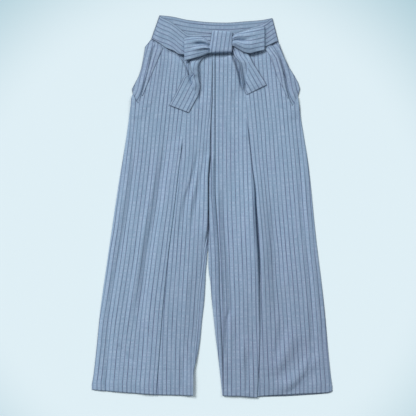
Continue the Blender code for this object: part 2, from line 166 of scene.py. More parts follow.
def between_ends(height, x, waist, top, reach, hem):
    """Height moved so that the ends of a panel follow its waist line and its hem line."""
    y = height + (follow(waist, x) - top) * ease(top - reach, top, height)
    return y + (follow(hem, x) - FOOT) * (1 - ease(FOOT, FOOT + HEM_REACH, height))


def spaced(count, length, first=EDGE_CELL):
    """Fractions of a length, evenly spaced but with a narrow cell at each end."""
    edge = first / length
    return [0, edge] + [mix(edge, 1 - edge, k / count) for k in range(1, count)] + [1 - edge, 1]


class Tone:
    """A value on its way between shader nodes. Sums on it add their own nodes."""

    def __init__(self, tree, socket=None):
        self.tree = tree
        self.socket = socket

    def node(self, kind, settings, inputs, output=0):
        made = self.tree.nodes.new(kind)
        for key, value in settings.items():
            setattr(made, key, value)
        for key, value in inputs.items():
            if isinstance(value, Tone):
                self.tree.links.new(value.socket, made.inputs[key])
            else:
                made.inputs[key].default_value = value
        return Tone(self.tree, made.outputs[output])

    def output(self, number):
        """Another output of the node that this value comes from."""
        return Tone(self.tree, self.socket.node.outputs[number])

    def math(self, operation, *others):
        inputs = dict(enumerate((self, *others)))
        return self.node("ShaderNodeMath", {"operation": operation}, inputs)

    def __add__(self, other):
        return self.math("ADD", other)

    def __sub__(self, other):
        return self.math("SUBTRACT", other)

    def __rsub__(self, other):
        return self.node("ShaderNodeMath", {"operation": "SUBTRACT"}, {0: other, 1: self})

    def __mul__(self, other):
        return self.math("MULTIPLY", other)

    __radd__ = __add__
    __rmul__ = __mul__

    def step(self, start, end):
        """0 below start, 1 above end."""
        inputs = {"Value": self, "From Min": start, "From Max": end}
        return self.node("ShaderNodeMapRange", {"interpolation_type": "SMOOTHSTEP"}, inputs)

    def blend(self, a, b):
        """Colour b over colour a, by as much as this value says."""
        return self.node("ShaderNodeMix", {"data_type": "RGBA"}, {0: self, 6: a, 7: b}, 2)


# Yarn colours, linear.
SKY = (0.246, 0.367, 0.514, 1)
MIST = (0.340, 0.464, 0.620, 1)
LILAC = (0.252, 0.320, 0.494, 1)
NAVY = (0.098, 0.122, 0.220, 1)
INK = (0.055, 0.068, 0.145, 1)
THREAD = (0.36, 0.44, 0.56, 1)
# Colour of the painted shade laid along every edge and seam of a piece.
EDGE_SHADE = (0.060, 0.085, 0.150, 1)
LOW_LEG_SHADE_TINT = (0.86, 0.82, 0.83)          # tint of the painted shade where it is darkest, over the lower legs
# Centre of the painted shade that darkens the cloth towards the lower legs.
LOW_LEG_SHADE_CENTRE = (0.20, -0.46, 0)
STRIPE_SOLID = 0.45    # half width of a stripe where it is whole
STRIPE_FADED = 1.25    # half width where it has faded out
EDGE_SHADE_WIDTH = 2.3     # how far in from an edge its painted shade reaches
THREAD_SOLID = 0.15
THREAD_FADED = 0.42
STITCH_PITCH = 2.6
PRICK_PITCH = 5
WEAVE = 2.6            # radians of the weave in a millimetre
HEM_LINE = -423        # height of the hem's upper edge


def striped_cotton(name, shade, lilac, edge_shade, side_rows, end_rows, hemmed=False):
    """Plain-woven cotton: pale blue warp and weft, with a fine navy stripe along the warp.

    Its edges are darkened with painted shade, and rows of stitches run beside them at given
    distances in millimetres. A hem is caught from inside with small pricks of thread."""
    cloth = bpy.data.materials.new(name)
    cloth.use_nodes = True
    tree = cloth.node_tree
    shader = tree.nodes["Principled BSDF"]
    start = Tone(tree)
    yarn = start.node("ShaderNodeUVMap", {"uv_map": "yarn"}, {})
    place = start.node("ShaderNodeTexCoord", {}, {}, 3)
    parts = yarn.node("ShaderNodeSeparateXYZ", {}, {0: yarn})
    across = parts * 1000
    along = parts.output(1) * 1000

    def cloud(x_scale, y_scale, detail=1):
        spot = yarn.node("ShaderNodeCombineXYZ", {}, {0: across * x_scale, 1: along * y_scale})
        return yarn.node("ShaderNodeTexNoise", {}, {"Vector": spot, "Scale": 1, "Detail": detail})

    warp = cloud(1.1, 0.035, 3)
    streak = cloud(0.30, 0.012, 2)
    weft = cloud(0.030, 0.30, 3)
    mottle = cloud(0.22, 0.16, 3)
    strength = cloud(0.094, 0.006)
    slub = cloud(0.11, 1.1)
    fleck = cloud(0.9, 0.9)
    drift = place.node("ShaderNodeTexNoise", {}, {"Vector": place, "Scale": 7, "Detail": 3})

    wobble = (cloud(0.2, 0.12) - 0.5) * 0.5
    from_line = (across + wobble).math("PINGPONG", STRIPE_PITCH / 2)
    line = 1 - from_line.step(STRIPE_SOLID, STRIPE_FADED)
    fray = fleck.step(0.30, 0.64) * 0.55 + (weft - 0.5) * 1.2
    fray = fray + (strength - 0.5) * 1.6 + (mottle - 0.5) * 0.9 + 0.40
    light = from_line.step(1.8, 4.8) * 0.30 + 0.12
    light = light + (warp - 0.5) * 1.5 + (streak - 0.5) * 1.7 + (weft - 0.5) * 2.4 + (mottle - 0.5) * 1.8
    ground = (drift.step(0.38, 0.66) * lilac + (streak - 0.5) * 2.2 + (mottle - 0.5) * 1.6).blend(SKY, LILAC)
    ground = (light + slub.step(0.58, 0.72) * 0.35).blend(ground, MIST)
    ground = ((1 - slub).step(0.58, 0.74) * 0.30).blend(ground, LILAC)
    ink = fleck.blend(NAVY, INK)
    colour = (line * fray).blend(ground, ink)
    low_leg = place.node("ShaderNodeVectorMath", {"operation": "DISTANCE"}, {0: place, 1: LOW_LEG_SHADE_CENTRE}, 1)
    border = yarn.node("ShaderNodeUVMap", {"uv_map": "border"}, {})
    margin = yarn.node("ShaderNodeSeparateXYZ", {}, {0: border})
    from_side = margin * 1000
    from_end = margin.output(1) * 1000
    # Painted shade along every edge of the piece, strongest at the edge and fading inwards.
    painted_edge_shade_mask = 1 - from_side.math("MINIMUM", from_end).step(0.3, EDGE_SHADE_WIDTH)
    colour = (painted_edge_shade_mask * edge_shade).blend(colour, EDGE_SHADE)
    sewn = 0
    stitches = [(row, from_side, along) for row in side_rows]
    stitches += [(row, from_end, across) for row in end_rows]
    for distance, beside, run in stitches:
        beside_row = 1 - (beside - distance).math("ABSOLUTE").step(THREAD_SOLID, THREAD_FADED)
        dash = run.math("PINGPONG", STITCH_PITCH / 2).step(0.18, 0.38)
        sewn = beside_row * dash + sewn
    if stitches:
        colour = (sewn * 0.8).blend(colour, THREAD)
    if hemmed:
        from_hem_line = (along - HEM_LINE).math("ABSOLUTE")
        from_prick = across.math("PINGPONG", PRICK_PITCH / 2)
        prick = (1 - from_hem_line.step(0.3, 1.1)) * from_prick.step(0.5, 1.2)
        colour = (prick * 0.22).blend(colour, NAVY)
    # Painted shade: the cloth darkens and turns a little more purple towards the lower legs, where the light
    # falls off.
    low_leg_shade_mask = (low_leg + (drift - 0.5) * 0.25).step(0.58, 0.05)
    # Each part's copy of the same cotton is darkened as a whole by its shade, a painted shade set part by
    # part to how much light that part gets.
    tint = low_leg_shade_mask.blend((shade, shade, shade, 1), (*(shade * part for part in LOW_LEG_SHADE_TINT), 1))
    colour = yarn.node("ShaderNodeMix", {"data_type": "RGBA", "blend_type": "MULTIPLY"},
                       {0: 1, 6: colour, 7: tint}, 2)
    tree.links.new(colour.socket, shader.inputs["Base Color"])

    over = (across * WEAVE).math("SINE")
    under = (along * WEAVE).math("SINE")
    weave = over * under * 0.5 + warp * 0.6 + slub * 0.9 + sewn * 1.6
    bump = yarn.node("ShaderNodeBump", {}, {"Strength": 0.25, "Distance": 0.0004, "Height": weave})
    tree.links.new(bump.socket, shader.inputs["Normal"])
    rough = 0.80 + (warp - 0.5) * 0.18
    tree.links.new(rough.socket, shader.inputs["Roughness"])
    shader.inputs["Specular IOR Level"].default_value = 0.25
    shader.inputs["Sheen Weight"].default_value = 0.12
    shader.inputs["Sheen Roughness"].default_value = 0.5
    return cloth


def to_border(line):
    """How far each point of a line is from the nearer of its two ends, in millimetres."""
    far = [0]
    for a, b in zip(line, line[1:]):
        far.append(far[-1] + (Vector(b[:3]) - Vector(a[:3])).length)
    return [min(value, far[-1] - value) for value in far]


def sew_shell(name, node, rows, cloth, slot, flat, held, **more):
    """A shell of cloth through rows of points, each (x, y, z, across, along) in millimetres.

    It stands for one CAD node. Its flat, the width and length in metres before it is laid, is not used."""
    row_count = len(rows)
    column_count = len(rows[0])
    shape = bmesh.new()
    bmesh.ops.create_grid(shape, x_segments=column_count - 1, y_segments=row_count - 1, size=1)
    yarn = shape.loops.layers.uv.new("yarn")
    border = shape.loops.layers.uv.new("border")
    shape.verts.ensure_lookup_table()
    from_sides = [to_border(row) for row in rows]
    from_ends = list(zip(*[to_border(line) for line in zip(*rows)]))
    if abs(rows[0][-1][4] - rows[0][0][4]) > abs(rows[-1][0][4] - rows[0][0][4]):
        from_sides, from_ends = from_ends, from_sides
    places = []
    margins = []
    for vertex in shape.verts:
        column = round((vertex.co.x + 1) / 2 * (column_count - 1))
        row = round((1 - vertex.co.y) / 2 * (row_count - 1))
        places.append(rows[row][column])
        margins.append((from_sides[row][column] * MM, from_ends[row][column] * MM))
    for vertex, point in zip(shape.verts, places):
        vertex.co = (point[0] * MM, point[1] * MM, point[2] * MM)
    for face in shape.faces:
        for loop in face.loops:
            point = places[loop.vert.index]
            loop[yarn].uv = (point[3] * MM, point[4] * MM)
            loop[border].uv = margins[loop.vert.index]
    mesh = bpy.data.meshes.new(name)
    shape.to_mesh(mesh)
    shape.free()
    mesh.materials.append(cloth)
    mesh.shade_smooth()
    piece = bpy.data.objects.new(name, mesh)
    bpy.context.collection.objects.link(piece)
    thickness = piece.modifiers.new("thickness", "SOLIDIFY")
    thickness.thickness = WALL * MM
    thickness.offset = 0
    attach(piece, "root")
    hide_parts(node)


def back_rows(sides, side, inner, hem, inset, first_stripe):
    """Rows of a back panel, from the waist seam down to the hem."""
    top = sides[0][0]
    count = 150
    rows = []
    for j in range(count + 1):
        height = mix(top, FOOT, j / count)
        outer_x = straight(sides, height) if height > sides[-1][0] else follow(side, height) - inset
        inner_x = inner(height)
        row = []
        for t in spaced(40, abs(outer_x - inner_x), 0.8):
            x = mix(outer_x, inner_x, t)
            y = between_ends(height, x, BACK_WAIST, top, 60, hem)
            across = x - outer_x + first_stripe * STRIPE_PITCH
            row.append((x, y, middle(BACK) + bed(x, y) - 0.1, across, y))
        rows.append(row)
    return rows


def joined(height):
    """1 above the crotch, where the two backs are sewn together, and 0 below it."""
    return ease(-128, -100, height)


def right_back_inner(height):
    """Centre back seam above the crotch, inner leg below it."""
    table = RIGHT_INNER_LEG if RIGHT_INNER_LEG[-1][0] < height < CROTCH else RIGHT_INSEAM
    return follow(table, height) + 3.4 * joined(height)


def left_back_inner(height):
    return follow(GUSSET_EDGE, height) + 0.8 + 2.6 * joined(height)


back_cloth = striped_cotton("back_cloth", 0.92, 0.35, 0.30, (), (), True)
right_back_rows = back_rows(RIGHT_BACK_SIDE, RIGHT_SIDE, right_back_inner, RIGHT_HEM, -1.6, 0.2)
left_back_rows = back_rows(LEFT_BACK_SIDE, LEFT_SIDE, left_back_inner, LEFT_BACK_HEM, 1.6, 0.4)
left_back_rows = [row[::-1] for row in left_back_rows]
sew_shell("right_back", "right_back_leg", right_back_rows, back_cloth, "back_cloth",
          flat=(0.265, 0.925), held="laid")
sew_shell("left_back", "left_back_leg", left_back_rows, back_cloth, "back_cloth",
          flat=(0.290, 0.927), held="laid")

# ---- Flaps in the side openings ----
# The back's own cotton goes on past each side opening, folded inwards and pressed. It shows as
# a slanted tongue behind the front's edge, and it is caught in the side seam at its foot.
# Down each strip: height and x of its outer edge, then x and height of its inner edge.
RIGHT_FLAP = [
    (433, -158.9, -137, 421.5), (415.7, -173.6, -140, 405), (385, -178.5, -147, 383),
    (358.8, -184, -153, 355), (339, -190.5, -158, 336), (305.2, -208.1, -165, 300),
    (296, -206.6, -171, 284), (286, -204.5, -176, 274), (270, -200, -181, 266), (256, -197, -186, 258)]
LEFT_FLAP = [
    (426, 173.3, 141, 413), (411.8, 177.7, 150, 400), (387.1, 187.3, 161, 380), (360.4, 200.6, 170, 355),
    (343.2, 212, 174, 335), (322.4, 223.5, 178, 314), (306, 228.4, 182, 294), (296, 225.6, 188, 278),
    (284, 222, 194, 266), (268, 219, 200, 258), (252, 214, 204, 251)]


def strip_rows(table, count, columns, shape):
    """Rows down a slanted strip, its outer edge first. A shape gives height and place in the yarn."""
    rows = []
    for j in range(count + 1):
        y1 = mix(table[0][0], table[-1][0], j / count)
        x1, x2, y2 = (straight(table, y1, column) for column in (1, 2, 3))
        width = sqrt((x2 - x1) ** 2 + (y2 - y1) ** 2)
        row = []
        for t in spaced(columns, width, min(0.6, 0.2 * width)):
            x = mix(x1, x2, t)
            y = mix(y1, y2, t)
            z, across = shape(x, y, t * width, width, y1)
            row.append((x, y, z, across, y))
        rows.append(row)
    return rows


def flap_shape(top_share, ridge_share, ridge_height):
    """Shape of a flap whose ridge runs down it at a share of its width."""
    def shape(x, y, far, width, outer_y):
        ridge = mix(top_share, ridge_share, ease(388, 348, outer_y)) * width
        rise = ridge_height * hump(far - ridge, 9, 3.5) - hump(far, 1.4, 1.4)
        rise *= ease(254, 300, y) * ease(440, 400, y)
        return middle(FRONT) + bed(x, y) + rise, width - far + 0.35 * STRIPE_PITCH
    return shape


opening_cloth = striped_cotton("opening_cloth", 0.93, 0.6, 0.85, (4,), ())
right_flap_rows = strip_rows(RIGHT_FLAP, 60, 18, flap_shape(0.46, 0.52, 3.2))
left_flap_rows = [row[::-1] for row in strip_rows(LEFT_FLAP, 60, 18, flap_shape(0.18, 0.40, 5))]
sew_shell("right_flap", "right_side_flap", right_flap_rows, opening_cloth, "opening_cloth",
          flat=(0.044, 0.180), held="folded")
sew_shell("left_flap", "left_side_flap", left_flap_rows, opening_cloth, "opening_cloth",
          flat=(0.049, 0.180), held="folded")

# ---- Fronts ----
# Each front leg is one panel of the same cotton, with a knife pleat laid towards the wearer's
# left. The right pleat is pressed sharp; the left one has lifted, and its edge rolls over a gap.
RIGHT_WAIST = [(-139, 423.5), (-121, 419), (-103, 412), (-82, 405), (0, 411)]
LEFT_WAIST = [(9, 411), (52, 411), (112, 412), (127, 417), (145, 421)]
LEFT_HEM = [
    (27.2, -491.1), (75.3, -492.2), (104, -494.6), (116, -495.4), (118.5, -493.3), (185.8, -489),
    (232.8, -486.5), (301.5, -483), (312.1, -479.4)]
GUSSET_SEAM = [
    (411, 8.7), (40, 8.8), (1.6, 11.1), (-66, 15.5), (-138.8, 19.3), (-232, 20.9), (-326, 25.4),
    (-388.4, 27.9), (-491, 29.4)]
# Outer edge at the side opening: nominal height, x and the edge's own height.
RIGHT_OPENING = [
    (408, -147, 429.5), (385, -158, 385), (345, -167.8, 345), (308, -176.9, 308), (284, -184, 284),
    (268, -192.5, 265.7), (254, -205.3, 294), (246, -210, 281), (236, -211.5, 262), (222, -215.5, 232)]
LEFT_OPENING = [
    (411, 153, 418.5), (385, 174, 385), (345, 185.8, 345), (308, 191.8, 308), (285, 198, 285),
    (262, 209.9, 258.4), (248, 222.5, 288), (240, 224.2, 275), (230, 227.3, 256), (216, 229.8, 228)]
# Knife pleats: height, x of the fold, degrees turned over, and how far the cloth goes back.
RIGHT_PLEAT = [
    (411, -60, 0, 0.2), (190, -74.5, 0, 0.2), (168, -77.6, 90, 0.4), (146, -80, 180, 3),
    (110.8, -85, 180, 10), (-14, -99.5, 180, 22), (-138.8, -115.5, 180, 24), (-263.6, -128, 180, 24),
    (-388.4, -137.5, 180, 24), (-486, -145.5, 180, 22)]
LEFT_PLEAT = [
    (411, 83, 0, 0.2), (240, 89, 0, 0.2), (206, 92.6, 90, 0.4), (173.2, 95.8, 180, 4),
    (110.8, 102.2, 180, 16), (48.4, 109.2, 180, 26), (-14, 111.8, 180, 27), (-76.4, 115.5, 180, 28),
    (-138.8, 119, 180, 28), (-201.2, 121, 180, 28), (-263.6, 122, 180, 27), (-326, 123.4, 180, 26),
    (-497, 117, 180, 24)]
# How far a pleat's edge has lifted, how wide its gap stands open, and how high the panel
# beyond the gap rises: height, lift, gap, crest.
RIGHT_LIFT = [
    (411, 0, 2, 0), (150, 0, 2, 0.6), (60, 0.1, 2, 1), (-60, 0.2, 2.2, 1.2), (-160, 0.2, 2.2, 1.2),
    (-300, 0.2, 2, 1.1), (-491, 0.1, 2, 0.9)]
LEFT_LIFT = [
    (411, 0, 3, 0), (200, 0.3, 3, 0.4), (120, 1, 4, 1), (60, 5, 5, 4.4), (10, 9.4, 6.6, 8),
    (-50, 11, 7.4, 9.6), (-120, 10.8, 8.6, 9.2), (-165, 8.2, 8, 7), (-220, 5, 6.6, 4.4), (-280, 3, 6, 2.4),
    (-340, 1.2, 4, 1.2), (-497, 0.3, 3, 0.7)]
# Where chosen stripes run: their numbers, then rows of height and the x of each of them.
RIGHT_OUTER_STRIPES = ((1, 4, 8, 11, 14), [
    (381.2, -193.8, -157.4, -123.6, -94.8, -65.1), (318.8, -201.4, -169.1, -131.4, -101.8, -71.4),
    (256.4, -208.1, -179.8, -138.5, -107.5, -75.8), (194, -213.6, -186.3, -145, -113.8, -82.8),
    (131.6, -220.6, -191.8, -150.7, -120.8, -89), (69.2, -227.9, -199.6, -157.2, -128.3, -97.4),
    (6.8, -236.2, -207.3, -164.2, -135.6, -104.1), (-55.6, -244.3, -215.9, -172, -145, -112.2),
    (-118, -254.2, -223.5, -179.5, -153.8, -119.7), (-180.4, -263, -232.3, -188.1, -161.8, -127.5),
    (-242.8, -272.4, -241.9, -197.2, -169.4, -135.1), (-305.2, -282.5, -250.8, -205.8, -175.6, -140.5),
    (-367.6, -288.5, -257.8, -213.6, -179.3, -145.5), (-461.2, -298.6, -266.1, -221.1, -186.8, -152)])
RIGHT_INNER_STRIPES = ((20, 23, 26, 28), [
    (381.2, -72.9, -40.7, -8.5, 12.3), (318.8, -71.9, -41.7, -10.8, 9.2), (256.4, -74.5, -44.3, -13.9, 3.8),
    (194, -77.4, -46.9, -19.4, -4.8), (131.6, -79.2, -49.8, -24.6, -6.9), (69.2, -84.1, -56.8, -29.8, -10),
    (6.8, -90.6, -62.8, -31.9, -10), (-55.6, -96.6, -66.7, -34.5, -12.6),
    (-118, -101.5, -70.3, -37.8, -15.7), (-180.4, -106.2, -74, -41, -18.6),
    (-242.8, -111.4, -77.4, -45.4, -24.1), (-305.2, -114.8, -80.7, -48.8, -27.7),
    (-367.6, -116.9, -83.1, -54.2, -32.9), (-461.2, -118.2, -84.9, -55, -33.9)])
LEFT_INNER_STRIPES = ((0, 3, 6, 9), [
    (381.2, 8.5, 41.2, 72.7, 103.9), (256.4, 7.9, 38.9, 68.8, 100), (131.6, 7.2, 37.6, 69.5, 101.3),
    (6.8, 7.7, 39.4, 72.7, 105.4), (-55.6, 8.7, 41.5, 74.8, 108), (-118, 11.8, 44.3, 77.6, 110.4),
    (-180.4, 14.4, 46.1, 80.2, 112.5), (-242.8, 16.5, 48.8, 82, 113.5), (-305.2, 18.1, 49.5, 82.5, 114.5),
    (-367.6, 19.4, 49.8, 83.6, 116.9), (-461.2, 18.1, 50.6, 85.9, 119.5)])
LEFT_OUTER_STRIPES = ((16, 19, 22, 25, 28), [
    (381.2, 88.8, 119.5, 151.2, 181.9, 213.1), (318.8, 94.5, 125.2, 156.7, 187.6, 218.3),
    (256.4, 100.5, 131.7, 162.9, 193.8, 224.5), (194, 106.2, 137.7, 168.3, 199, 229.2),
    (131.6, 111.9, 140.8, 173, 204.5, 236), (69.2, 118.2, 145.5, 177.7, 209.7, 241.7),
    (6.8, 123.6, 150.7, 181.9, 214.9, 245.8), (-55.6, 129.1, 156.1, 187.3, 219.8, 251),
    (-118, 133.5, 163.2, 192, 225.3, 256), (-180.4, 136.9, 166, 197.5, 231.3, 262.7),
    (-242.8, 139.2, 171.2, 202.4, 236.2, 267.9), (-305.2, 141.3, 175.1, 206.8, 240.4, 272.9),
    (-367.6, 143.4, 176.7, 210.7, 244.8, 276.5), (-461.2, 147.8, 182.9, 217.2, 249.2, 283)])
# Creases: width to the left, width to the right, then height, x and depth down the line.
# A depth below 0 is a trough and one above 0 a ridge.
RIGHT_CREASES = [
    (9, 7, [(412, -100, 0), (398, -83, -2.8), (381, -73, -3.8), (365, -64, -3.8), (350, -58.5, -3.2),
        (330, -54, -2.2), (312, -52, 0)]),
    (15, 5, [(408, -104, 0), (392, -88, 1.9), (374, -77, 2.3), (358, -69, 1.9), (340, -63, 1.2),
        (312, -59, 0)]),
    (6, 10, [(385, -31, 0), (365, -33, -2.6), (320, -28, -2.8), (295, -30, -1.6), (262, -40, 0)]),
    (5, 7, [(215, -205, 0), (120, -206, -0.9), (17, -217, -1.4), (-113, -240, -1.5), (-216, -260, -1.3),
        (-346, -272, -1.4), (-464, -277, -1.6), (-490, -279, -1)]),
    (8, 6, [(215, -214, 0), (120, -217, 0.8), (-113, -255, 1), (-346, -288, 0.9), (-490, -296, 0)]),
    (9, 7, [(230, -122, 0), (170, -124, -0.7), (110, -128, -1.6), (82, -132, -2.2), (17, -140, -1.8),
        (-60, -156, -2.4), (-140, -172, -2.8), (-217, -182, -2.2), (-270, -190, -0.8),
        (-330, -200, 0)]),
    (8, 9, [(170, -142, 0), (82, -150, 1.2), (-60, -176, 1.6), (-217, -203, 1.2), (-330, -222, 0)]),
    (6, 9, [(150, -38, 0), (110, -44, -1.4), (60, -56, -2), (17, -70, -1.6), (-40, -80, -0.6),
        (-90, -88, 0)]),
    (7, 5, [(170, -16, 0), (120, -20, -1.2), (60, -32, -1.6), (0, -44, -1), (-60, -52, 0)]),
    (6, 6, [(140, -30, 0), (60, -44, 1.3), (0, -56, 1), (-70, -66, 0)]),
    (8, 5, [(-355, -245, 0), (-372, -236, -1.4), (-392, -219, -1.6), (-408, -205, 0)]),
    (7, 6, [(-310, -172, 0), (-330, -162, -1.2), (-360, -146, 0)]),
    (7, 5, [(-330, -66, 0), (-370, -58, -1.5), (-395, -50, -1.8), (-430, -52, 0)]),
    (5, 6, [(-380, -78, 0), (-420, -77, -1.4), (-470, -80, -0.8), (-490, -81, 0)]),
    (10, 10, [(-150, -60, 0), (-220, -66, 1.2), (-320, -70, 0)])]
LEFT_CREASES = [
    (12, 7, [(402, 44, 0), (386, 49, 2.3), (366, 56, 2.4), (345, 63.5, 1.8), (322, 69, 1), (296, 75, 0)]),
    (9, 3, [(398, 56, 0), (388, 61, -2.8), (370, 71, -3.8), (349, 76, -3.8), (320, 81, -2.6), (300, 86, -1),
        (285, 90, 0)]),
    (9, 5, [(400, 58, 0), (375, 67, -2.6), (350, 75, -2.8), (320, 80, -2), (285, 86, -0.8), (262, 88, 0)]),
    (3, 5, [(100, 14, 0), (30, 14, 1.2), (-60, 20, 2), (-230, 26, 2.2), (-360, 31, 1.5), (-430, 33, 0.6),
        (-480, 34, 0)]),
    (5, 8, [(60, 26, 0), (0, 28, -1.4), (-100, 36, -1.6), (-200, 44, -2.2), (-262, 46, -2.4),
        (-300, 37, -1.2), (-380, 33, -0.6), (-405, 32, 0)]),
    (6, 9, [(-250, 52, 0), (-290, 48, 1), (-380, 46, 0.6), (-420, 46, 0)]),
    (14, 13, [(20, 156, 0), (-60, 160, -1.6), (-150, 164, -2.4), (-240, 166, -1.6), (-300, 168, 0)]),
    (13, 11, [(-200, 188, 0), (-262, 185, -2.2), (-330, 178, -2.4), (-390, 166, -1.2), (-430, 158, 0)]),
    (26, 24, [(-310, 214, 0), (-360, 196, 1.3), (-400, 176, 1.5), (-440, 156, 0)]),
    (40, 20, [(-335, 252, 0), (-380, 234, -1.5), (-420, 204, -1.7), (-460, 172, 0)]),
    (26, 24, [(-380, 264, 0), (-425, 240, 1.6), (-455, 212, 1.5), (-488, 180, 0)]),
    (40, 17, [(-400, 262, 0), (-450, 242, -1.7), (-488, 216, -1.4)]),
    (5, 7, [(215, 222, 0), (17, 231, -1.2), (-150, 248, -1.4), (-308, 258, -1.6), (-380, 257, -1.8),
        (-440, 244, 0)]),
    (8, 6, [(200, 236, 0), (17, 245, 0.9), (-200, 268, 1), (-400, 285, 0.9), (-480, 292, 0)]),
    (6, 6, [(-370, 92, 0), (-420, 91, -1.8), (-480, 88, -1)]),
    (7, 7, [(-330, 82, 0), (-380, 80, 1.4), (-440, 76, 0)]),
    (4, 7, [(310, 54, 0), (290, 56, -0.8), (230, 62, 0)])]


CREASE_SCALE = 2.5     # real depth for each unit of depth in the tables
FRONT_STEPS = 300      # cells down a front
WIDE = 46              # cells across the wider part of a front, beside its outer edge
NARROW = 34            # cells across the other part
PLEAT_STEPS = 6        # cells round each turn of a pleat


def crease_lift(creases, x, y):
    """Sum of the creases at a place."""
    total = 0
    for left, right, line in creases:
        if line[-1][0] < y < line[0][0]:
            depth = follow(line, y, 2)
            near, far = (0.60 * left, 1.5 * right) if depth < 0 else (0.9 * left, 0.7 * right)
            total += CREASE_SCALE * depth * hump(x - follow(line, y), near, far)
    return total


# Lower edge of the belt: x and y.
BELT_EDGE = [
    (-157.6, 435.6), (-137.5, 424.2), (-117.9, 410.8), (-100, 403.6), (-81.5, 393.8), (-60, 395),
    (-20, 399.5), (52, 401), (111.7, 402), (141.6, 416), (172, 429.2)]


def front_relief(x, y):
    """How far a front swells off the layers below at a place, its pleat aside."""
    side, creases = (RIGHT_SIDE, RIGHT_CREASES) if x < 3 else (LEFT_SIDE, LEFT_CREASES)
    outer = follow(side, y)
    edge = follow(BELT_EDGE, x)
    puff = 3.2 * ease(0, 30, abs(outer - x)) * ease(-500, -455, y) * ease(-4, -30, y - edge)
    swell = 0.8 * wander(x, y, 30, 120, 1.3) + 0.45 * wander(x, y, 8, 60, 8.1)
    groove = 2.4 * hump(y - edge + 4, 7, 7)
    if 9 < x < 72:
        groove += 0.9 * hump(y - 376, 1.2, 1.2)
        groove += 0.8 * hump(y - 233 + 0.25 * (x - 9), 1.4, 1.4) * ease(30, 20, x)
    groove += 0.35 * hump(y - HEM_LINE, 2.4, 2.4)
    total = puff - groove + (crease_lift(creases, x, y) + swell) * ease(425, 385, y)
    return 0.5 * (total + sqrt(total * total + 0.6)) - 0.1


def stripe_number(stripes, height):
    """Pairs of x and stripe number across a panel at a height."""
    numbers, lines = stripes
    return [(follow(lines, height, k + 1), number) for k, number in enumerate(numbers)]


def pleat_section(fold, lift, low):
    """Middle line of a knife pleat, from its visible edge to the run that goes on below."""
    x_edge, degrees, run = fold
    turn = radians(degrees)
    if degrees < 2:
        return [(x_edge + 0.03 * k, low) for k in range(2 * PLEAT_STEPS + 2)]
    outer = (LAYER + lift) / 2
    inner = LAYER / 2
    rise = (outer + inner) * (1 - cos(turn)) + run * sin(turn)
    x = x_edge - outer - WALL / 2
    z = low + rise
    points = []
    for k in range(PLEAT_STEPS + 1):
        angle = turn * k / PLEAT_STEPS
        points.append((x + outer * sin(angle), z - outer + outer * cos(angle)))
    x = points[-1][0] + run * cos(turn) + inner * sin(turn)
    z = points[-1][1] - run * sin(turn) + inner * cos(turn)
    for k in range(PLEAT_STEPS + 1):
        angle = turn * (1 - k / PLEAT_STEPS)
        points.append((x - inner * sin(angle), z - inner * cos(angle)))
    return points


def slit(height):
    """How far the right front and the gusset stand apart down their seam, 0 to 1."""
    return ease(146, 116, height) * ease(-96, -56, height)


def seam_groove(below, above, from_seam, width, height):
    """Depth of a sewn seam, with one depth below the bow and another behind it."""
    depth = mix(below, above, ease(240, 330, height)) * hump(from_seam, width, width)
    return depth * ease(-430, -385, height)


